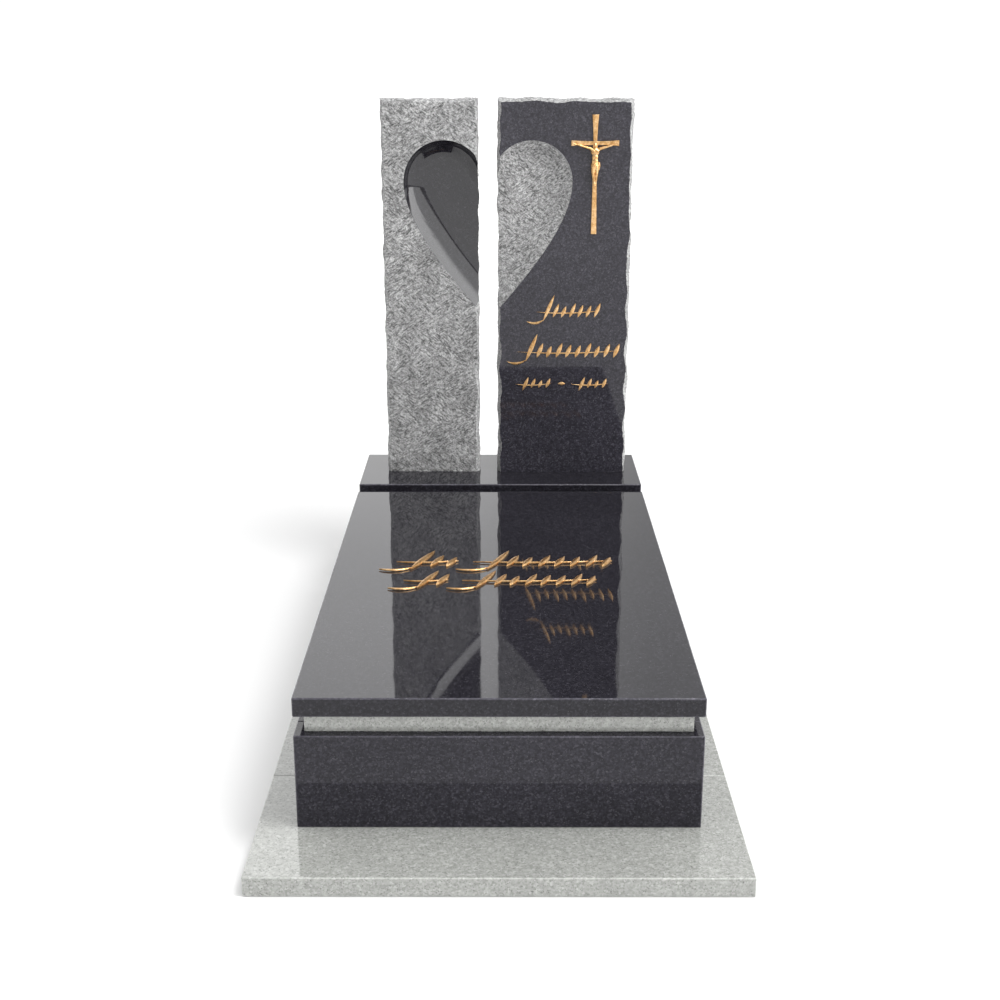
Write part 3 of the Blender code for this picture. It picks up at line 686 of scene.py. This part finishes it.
def stroke_row(name, groups, stone_width, shares, thickness, place):
    """A row of stroke groups; a group of one is a dash."""
    pitch, low, tall, flourish = (share * stone_width for share in shares)
    lengths = [pitch if count == 1 else (SWEEP_LEAD + count - 1 + SWEEP_TAIL) * pitch for count in groups]
    x = -(sum(lengths) + GROUP_GAP * pitch * (len(groups) - 1)) / 2
    belly, sag, descent = STROKE_BELLY * pitch, SWEEP_SAG * low, STROKE_DESCENT * low
    for number, (count, length) in enumerate(zip(groups, lengths), start=1):
        points, faces = [], []
        if count == 1:
            lens(points, faces, (0.0, low / 2), (pitch, low / 2), belly, belly, thickness)
            stroke_piece(f"{name}_{number}", points, faces, place @ Matrix.Translation((x, 0.0, 0.0)))
        else:
            foot, head = (-STROKE_SLANT * descent, -descent), (STROKE_SLANT * tall, tall)
            lens(points, faces, foot, head, belly, belly, thickness)
            for index in range(1, count):
                height = low * (1.0 + STROKE_SWAY * math.sin(STROKE_SWAY_TURN * index))
                foot, head = (index * pitch, 0.0), (index * pitch + STROKE_SLANT * height, height)
                lens(points, faces, foot, head, belly, belly, thickness)
            flat, lift = thickness * SWEEP_SHARE, thickness * (1 - SWEEP_SHARE) / 2
            start, end = (-SWEEP_LEAD * pitch, SWEEP_START * low), ((count - 1 + SWEEP_TAIL) * pitch, SWEEP_END * low)
            lens(points, faces, start, end, -sag, sag + SWEEP_WIDTH, flat, lift)
            if flourish > 0:
                foot = (-STROKE_SLANT * descent / 2, -descent / 2)
                lens(points, faces, (-flourish, -descent), foot, -sag, sag + 2 * SWEEP_WIDTH, flat, lift)
            at = place @ Matrix.Translation((x + SWEEP_LEAD * pitch, 0.0, 0.0))
            stroke_piece(f"{name}_{number}", points, faces, at)
        x += length + GROUP_GAP * pitch


BEDDING = 0.0003
STELE_STROKE = 0.0030
LID_STROKE = 0.0090
LID_WIDTH = 1.000
LID_LENGTH = 1.675
LID_FOOT_Y = -0.9875
LID_TOP_Z = 0.4009
for name, groups, shares, across, below in (
    ("stele_strokes_upper", (7,), (0.0608, 0.0964, 0.1677, 0.1342), 0.5325, 0.979),
    ("stele_strokes_middle", (10,), (0.0713, 0.1006, 0.1803, 0.1509), 0.5409, 1.211),
    ("stele_strokes_lower", (4, 1, 4), (0.0555, 0.0670, 0.0838, 0.0), 0.4927, 1.389),
):
    height = STELE_FOOT_Z + STELE_HEIGHT - HEART_TOP_DROP - below * HEART_HEIGHT
    spot = (GAP_X + GAP / 2 + across * RIGHT_WIDTH, STELE_FACE_Y - BEDDING, height)
    stroke_row(name, groups, RIGHT_WIDTH, shares, STELE_STROKE,
               Matrix.Translation(spot) @ Matrix.Rotation(math.pi / 2, 4, "X"))
for name, groups, shares, across, along in (
    ("cover_strokes_head", (3, 8), (0.0478, 0.0850, 0.1350, 0.1050), 0.515, 0.5403),
    ("cover_strokes_foot", (2, 8), (0.0446, 0.0800, 0.1150, 0.0950), 0.502, 0.4466),
):
    spot = ((across - 0.5) * LID_WIDTH, LID_FOOT_Y + along * LID_LENGTH, LID_TOP_Z + BEDDING)
    stroke_row(name, groups, LID_WIDTH, shares, LID_STROKE, Matrix.Translation(spot))

# Crucifix: a gilt bronze casting, 40 cm tall, a flared cross with a small figure on it in one piece. It is pinned to
# the polished face of the wide stele.
CROSS_HEIGHT = 0.400
CROSS_SPAN = 0.162
CROSS_THICKNESS = 0.006
CROSS_ARM_DROP = 0.094
CROSS_END_WIDTH = 0.022
CROSS_FOOT_WIDTH = 0.0190
CROSS_ARM_END = 0.0185
CROSS_WAIST = 0.0125
CROSS_SAG = 0.0007
FLANK_STEPS = 8
CROSS_X = 0.3225
CROSSING_Z = 1.5822
FIGURE_HEIGHT = 0.142
FIGURE_STANDOFF = 0.0045
HAND_SHARE = 0.44
CROSS_BEVEL = 0.0012
MERGE_GAP = 0.0001
MELT_SIZE = 0.0007
SHARP_CASTING = math.radians(40)


def flared_cross():
    """The cross with hollowed flanks and bevelled edges, its back on the stone's bedding."""
    quarter = []
    for start, end in (
        ((CROSS_END_WIDTH / 2, CROSS_ARM_DROP), (CROSS_WAIST / 2, CROSS_WAIST / 2)),
        ((CROSS_WAIST / 2, CROSS_WAIST / 2), (CROSS_SPAN / 2, CROSS_ARM_END / 2)),
        ((CROSS_SPAN / 2, -CROSS_ARM_END / 2), (CROSS_WAIST / 2, -CROSS_WAIST / 2)),
        ((CROSS_WAIST / 2, -CROSS_WAIST / 2), (CROSS_FOOT_WIDTH / 2, CROSS_ARM_DROP - CROSS_HEIGHT)),
    ):
        start, end = Vector(start), Vector(end)
        side = Vector((-(end - start).y, (end - start).x)).normalized()
        inward = side if side.dot(-start) > 0 or side.dot(-end) > 0 else -side
        for step in range(FLANK_STEPS + 1):
            t = step / FLANK_STEPS
            quarter.append(start.lerp(end, t) + inward * CROSS_SAG * math.sin(math.pi * t))
    line = []
    for spot in quarter:
        if not line or (spot - line[-1]).length > MERGE_GAP:
            line.append(spot)
    line += [Vector((-spot.x, spot.y)) for spot in reversed(line)]
    bm = bmesh.new()
    face = bm.faces.new([bm.verts.new((spot.x, 0.0, spot.y)) for spot in line])
    raised = bmesh.ops.extrude_face_region(bm, geom=[face])
    front = [item for item in raised["geom"] if isinstance(item, bmesh.types.BMVert)]
    bmesh.ops.translate(bm, vec=(0.0, -CROSS_THICKNESS, 0.0), verts=front)
    bmesh.ops.recalc_face_normals(bm, faces=bm.faces[:])
    edges = [e for e in bm.edges if all(abs(v.co.y + CROSS_THICKNESS) < 1e-6 for v in e.verts)]
    bmesh.ops.bevel(bm, geom=edges, offset=CROSS_BEVEL, segments=3, profile=0.6, affect="EDGES")
    mesh = bpy.data.meshes.new("cross")
    bm.to_mesh(mesh)
    bm.free()
    return mesh


def bead_string(bm, beads, smooth_steps=6):
    """Balls along a limb from one bead to the next, growing and shrinking between them."""
    for (a, size_a), (b, size_b) in zip(beads, beads[1:]):
        a, b = Vector(a), Vector(b)
        for step in range(smooth_steps + 1):
            t = step / smooth_steps
            radius = size_a + (size_b - size_a) * t
            ball = bmesh.ops.create_icosphere(bm, subdivisions=2, radius=radius)
            bmesh.ops.translate(bm, vec=a.lerp(b, t), verts=ball["verts"])


def pillow(bm, middle, size, turn=0.0):
    """A ball pulled to an egg and leaned sideways."""
    ball = bmesh.ops.create_icosphere(bm, subdivisions=3, radius=1.0)
    shape = Matrix.Translation(middle) @ Matrix.Rotation(turn, 4, "Y") @ Matrix.Diagonal((*size, 1.0))
    bmesh.ops.transform(bm, matrix=shape, verts=ball["verts"])


def hanging_figure():
    """A small calm figure with raised arms, a folded cloth at the hips and feet laid together. Heights are shares."""
    tall = FIGURE_HEIGHT
    hand = HAND_SHARE * CROSS_SPAN / tall
    bm = bmesh.new()
    for side in (-1, 1):
        arm = (((side * 0.080, 0.0, -0.150), 0.040), ((side * 0.125, 0.0, -0.124), 0.038),
               ((side * 0.20, 0.0, -0.104), 0.033), ((side * 0.28, 0.0, -0.082), 0.028),
               ((side * 0.36, 0.0, -0.054), 0.027), ((side * 0.44, 0.0, -0.032), 0.019),
               ((side * hand, -0.002, -0.020), 0.017))
        bead_string(bm, arm)
        for finger in range(4):
            spread = (finger - 1.5) * 0.011
            bead_string(bm, (((side * hand, -0.006, -0.018 + spread), 0.008),
                             ((side * (hand + 0.035), -0.012, -0.012 + 1.3 * spread), 0.006)), 3)
        leg = (((side * 0.040, -0.008, -0.540), 0.058), ((side * 0.044, -0.020, -0.640), 0.050),
               ((side * 0.040, -0.036, -0.735), 0.038), ((side * 0.034, -0.030, -0.775), 0.036),
               ((side * 0.030, -0.012, -0.840), 0.036), ((side * 0.018, -0.004, -0.925), 0.023),
               ((side * 0.014, -0.012, -0.955), 0.024), ((side * 0.012, -0.030, -0.995), 0.017))
        bead_string(bm, leg)
        pillow(bm, (side * 0.043, -0.030, -0.185), (0.052, 0.026, 0.038))
    bead_string(bm, (((0.0, 0.002, -0.090), 0.030), ((0.0, 0.0, -0.140), 0.034)))
    pillow(bm, (0.0, 0.0, -0.200), (0.104, 0.052, 0.094))
    pillow(bm, (0.0, -0.004, -0.325), (0.076, 0.044, 0.090))
    pillow(bm, (0.0, -0.004, -0.420), (0.078, 0.044, 0.080))
    pillow(bm, (0.0, 0.0, -0.500), (0.096, 0.052, 0.074))
    for fold in range(9):
        lean = (fold - 4) / 4
        bead_string(bm, (((-0.085 + 0.02 * abs(lean), -0.020, -0.470 - 0.012 * fold), 0.014),
                         ((0.02 * lean, -0.052, -0.490 - 0.016 * fold), 0.013),
                         ((0.086 - 0.01 * abs(lean), -0.020, -0.455 - 0.010 * fold), 0.014)), 7)
    bead_string(bm, (((0.092, -0.030, -0.455), 0.024), ((0.108, -0.034, -0.520), 0.020),
                     ((0.098, -0.028, -0.610), 0.013)))
    pillow(bm, (0.0, -0.014, -0.052), (0.038, 0.042, 0.052))
    pillow(bm, (0.0, -0.022, -0.088), (0.026, 0.030, 0.026))
    pillow(bm, (0.0, 0.004, -0.040), (0.046, 0.042, 0.046))
    for lock in range(7):
        turn = -0.9 + 0.3 * lock
        bead_string(bm, (((0.030 * math.sin(turn), -0.020, -0.006), 0.014),
                         ((0.046 * math.sin(turn * 1.4), -0.006, -0.050), 0.013),
                         ((0.044 * math.sin(turn * 1.5), 0.006, -0.105), 0.010)), 5)
    bead_string(bm, (((0.0, -0.052, -0.040), 0.006), ((0.0, -0.060, -0.058), 0.009)), 3)
    for side in (-1, 1):
        bead_string(bm, (((side * 0.006, -0.051, -0.036), 0.006), ((side * 0.024, -0.044, -0.038), 0.006)), 4)
        pillow(bm, (side * 0.015, -0.051, -0.046), (0.007, 0.004, 0.004))
    bead_string(bm, (((-0.010, -0.050, -0.074), 0.004), ((0.010, -0.050, -0.074), 0.004)), 4)
    bmesh.ops.scale(bm, vec=(tall, tall, tall), verts=bm.verts[:])
    mesh = bpy.data.meshes.new("figure")
    bm.to_mesh(mesh)
    bm.free()
    figure = bpy.data.objects.new("figure", mesh)
    bpy.context.scene.collection.objects.link(figure)
    melt = figure.modifiers.new("melt", "REMESH")
    melt.mode = "VOXEL"
    melt.voxel_size = MELT_SIZE
    ease = figure.modifiers.new("ease", "SMOOTH")
    ease.factor = 0.5
    ease.iterations = 2
    bpy.context.view_layer.update()
    cast = bpy.data.meshes.new_from_object(figure.evaluated_get(bpy.context.evaluated_depsgraph_get()))
    bpy.data.objects.remove(figure, do_unlink=True)
    return cast


cross = flared_cross()
cross.transform(Matrix.Translation((CROSS_X, STELE_FACE_Y - BEDDING, CROSSING_Z)))
figure = hanging_figure()
figure_y = STELE_FACE_Y - BEDDING - CROSS_THICKNESS - FIGURE_STANDOFF
figure.transform(Matrix.Translation((CROSS_X, figure_y, CROSSING_Z)))
bm = bmesh.new()
bm.from_mesh(cross)
bm.from_mesh(figure)
casting = bpy.data.meshes.new("crucifix_bronze")
bm.to_mesh(casting)
bm.free()
casting.materials.append(bronze)
casting.shade_smooth()
casting.set_sharp_from_angle(angle=SHARP_CASTING)
crucifix = bpy.data.objects.new("crucifix_bronze", casting)
bpy.context.scene.collection.objects.link(crucifix)
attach(crucifix, "root")
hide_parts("crucifix")

# Studio: a plain pale floor in an even white surround, brighter behind on the left and overhead, with a tall soft
# window in front on the right and one broad soft lamp above it. The floor shines a little more far from the stones.
FLOOR_REACH = 60.0
FLOOR_DROP = 0.0005
SURROUND_LIGHT = 0.45
PLAIN_WHITE = 1.05
LAMP_WIDTH = 2.6
LAMP_POWER = 230.0
LAMP_AIM = (0.0, 0.2, 0.6)
floor_finish, floor_shader, floor_place = blank_finish("studio_floor")
floor_shader.inputs["Base Color"].default_value = (0.82, 0.82, 0.82, 1.0)
floor_shader.inputs["Roughness"].default_value = 0.9
floor_shader.inputs["Specular IOR Level"].default_value = 0.1
# Painted light: the floor glows, not at all within about 2.8 m of its middle and rising to 0.45 at 8 m and beyond, so
# that it stays white far off where less light falls.
distance = knot(floor_finish, "ShaderNodeTexGradient", gradient_type="SPHERICAL", Vector=knot(
    floor_finish, "ShaderNodeVectorMath", operation="SCALE", Vector=floor_place, Scale=0.1))
floor_finish.node_tree.links.new(
    shades(floor_finish, distance, ((0.20, 0.45), (0.72, 0.0))), floor_shader.inputs["Emission Strength"])
floor_shader.inputs["Emission Color"].default_value = (1.0, 1.0, 1.0, 1.0)
floor_mesh = bpy.data.meshes.new("studio_floor")
corners = [(x * FLOOR_REACH, y * FLOOR_REACH, -FLOOR_DROP) for x, y in ((-1, -1), (1, -1), (1, 1), (-1, 1))]
floor_mesh.from_pydata(corners, [], [(0, 1, 2, 3)])
floor_mesh.materials.append(floor_finish)
floor = bpy.data.objects.new("studio_floor", floor_mesh)
bpy.context.scene.collection.objects.link(floor)

world = bpy.data.worlds.new("studio_surround")
bpy.context.scene.world = world
world.use_nodes = True
surround = world.node_tree
surround.nodes.clear()


def sky(kind, *plugs, **settings):
    """One node of the surround. Its plugs go to its first sockets in order, linked or set."""
    made = surround.nodes.new(kind)
    for name, value in settings.items():
        setattr(made, name, value)
    for socket, plug in zip(made.inputs, plugs):
        if isinstance(plug, bpy.types.NodeSocket):
            surround.links.new(plug, socket)
        else:
            socket.default_value = plug
    return made


def worked(kind, first, second):
    """Two values worked into one."""
    return sky("ShaderNodeMath", first, second, operation=kind).outputs[0]


def rising(by, start, end, low, high):
    """A value that goes softly from low to high while another goes from start to end."""
    return sky("ShaderNodeMapRange", by, start, end, low, high, interpolation_type="SMOOTHSTEP").outputs[0]


toward = surround.nodes.new("ShaderNodeTexCoord").outputs["Generated"]
parts = sky("ShaderNodeSeparateXYZ", toward).outputs
across, away, above = parts["X"], parts["Y"], parts["Z"]
sideways = worked("DIVIDE", across, worked("MAXIMUM", away, 0.25))
back_wall = rising(sideways, -0.06, 0.13, 1.30, 0.32)
back_wall = worked("MULTIPLY", back_wall, rising(above, 0.32, 0.44, 1.0, 1.25))
back_wall = worked("MULTIPLY", back_wall, rising(above, 0.46, 0.75, 1.0, 0.0))
back_wall = worked("MULTIPLY", back_wall, rising(away, -0.2, 0.4, 0.0, 1.0))
ceiling = rising(above, 0.60, 0.88, 0.0, 0.7)
turned = worked("ARCTAN2", across, worked("MULTIPLY", away, -1.0))
window = rising(turned, math.radians(42), math.radians(52), 1.75, 4.7)
window = worked("MULTIPLY", window, rising(turned, math.radians(9), math.radians(13), 0.0, 1.0))
window = worked("MULTIPLY", window, rising(turned, math.radians(80), math.radians(90), 1.0, 0.0))
window = worked("MULTIPLY", window, rising(above, 0.02, 0.07, 0.0, 1.0))
window = worked("MULTIPLY", window, rising(above, 0.56, 0.70, 1.0, 0.0))
blend = worked("ADD", worked("ADD", SURROUND_LIGHT, back_wall), worked("ADD", ceiling, window))
shown = sky("ShaderNodeMix", surround.nodes.new("ShaderNodeLightPath").outputs["Is Camera Ray"], data_type="FLOAT")
surround.links.new(blend, shown.inputs[2])
shown.inputs[3].default_value = PLAIN_WHITE
glow = sky("ShaderNodeBackground", (1.0, 1.0, 1.0, 1.0))
surround.links.new(shown.outputs[0], glow.inputs["Strength"])
surround.links.new(glow.outputs[0], sky("ShaderNodeOutputWorld").inputs[0])

lamp_data = bpy.data.lights.new("soft_lamp", "AREA")
lamp_data.shape = "DISK"
lamp_data.size = LAMP_WIDTH
lamp_data.energy = LAMP_POWER
lamp = bpy.data.objects.new("soft_lamp", lamp_data)
lamp.location = (2.2, -1.3, 6.2)
lamp.rotation_euler = (Vector(LAMP_AIM) - lamp.location).to_track_quat("-Z", "Y").to_euler()
bpy.context.scene.collection.objects.link(lamp)

eye_data = bpy.data.cameras.new("view")
eye_data.sensor_width = 36.0
eye_data.lens = 51.12
eye = bpy.data.objects.new("view", eye_data)
eye.location = (0.0081, -4.0924, 1.8888)
eye.rotation_euler = (math.radians(72.36), 0.0, 0.0019)
bpy.context.scene.collection.objects.link(eye)
bpy.context.scene.camera = eye
bpy.context.scene.view_settings.view_transform = "Standard"
